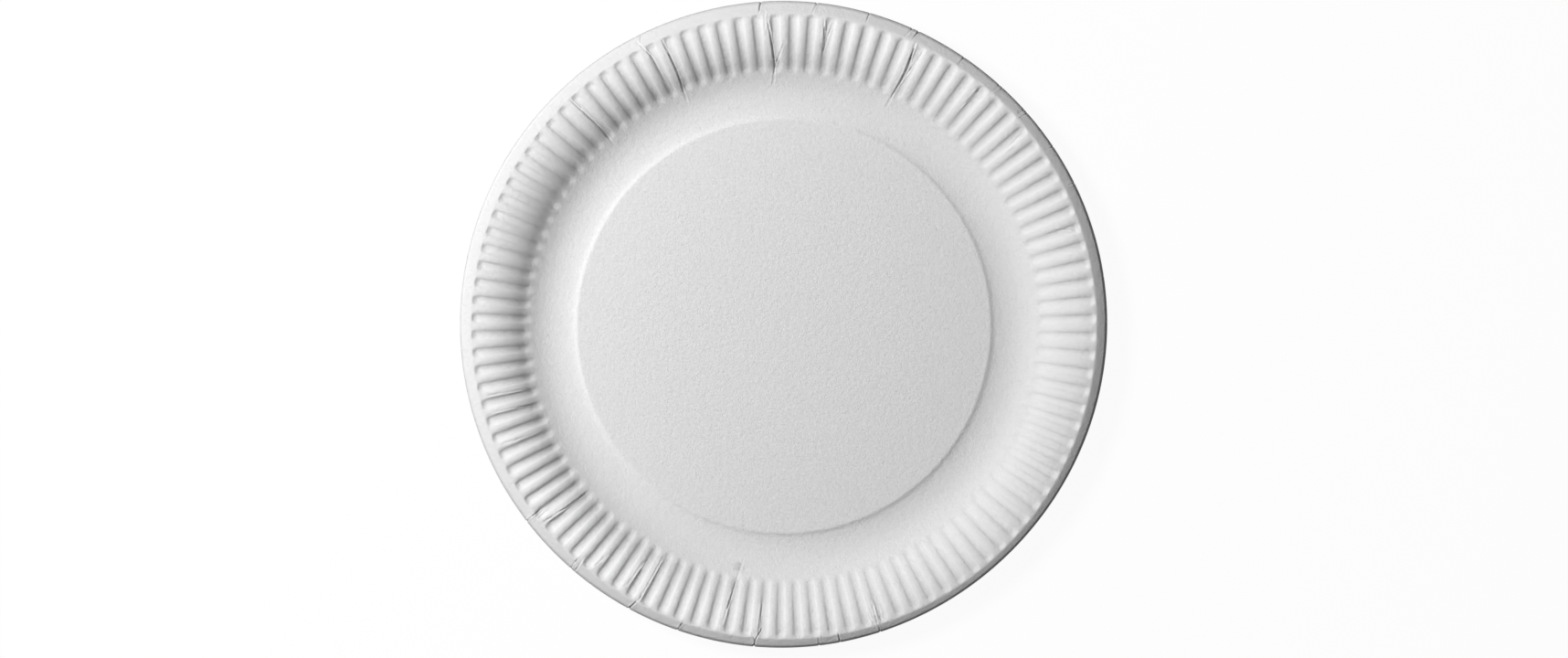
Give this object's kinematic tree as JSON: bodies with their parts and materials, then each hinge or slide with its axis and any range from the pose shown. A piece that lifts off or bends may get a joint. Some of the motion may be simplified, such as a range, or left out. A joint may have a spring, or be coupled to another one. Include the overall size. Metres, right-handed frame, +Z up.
{
  "type": "paper plate",
  "caption": "Round disposable paper plate with a raised flat panel, a curved fluted wall, a wide rim and a turned-down lip.",
  "frame": {"origin": "centre of the plate, on the plane of the flat foot ring that it stands on", "axes": "+Z up along the plate's axis of symmetry, food side up; X and Y lie across the plate, which is the same all the way round"},
  "size_m": [0.23, 0.23, 0.0135],
  "materials": {
    "board": "matt uncoated white paperboard"
  },
  "bodies": {
    "root": {"plate": "board"}
  },
  "joints": []
}
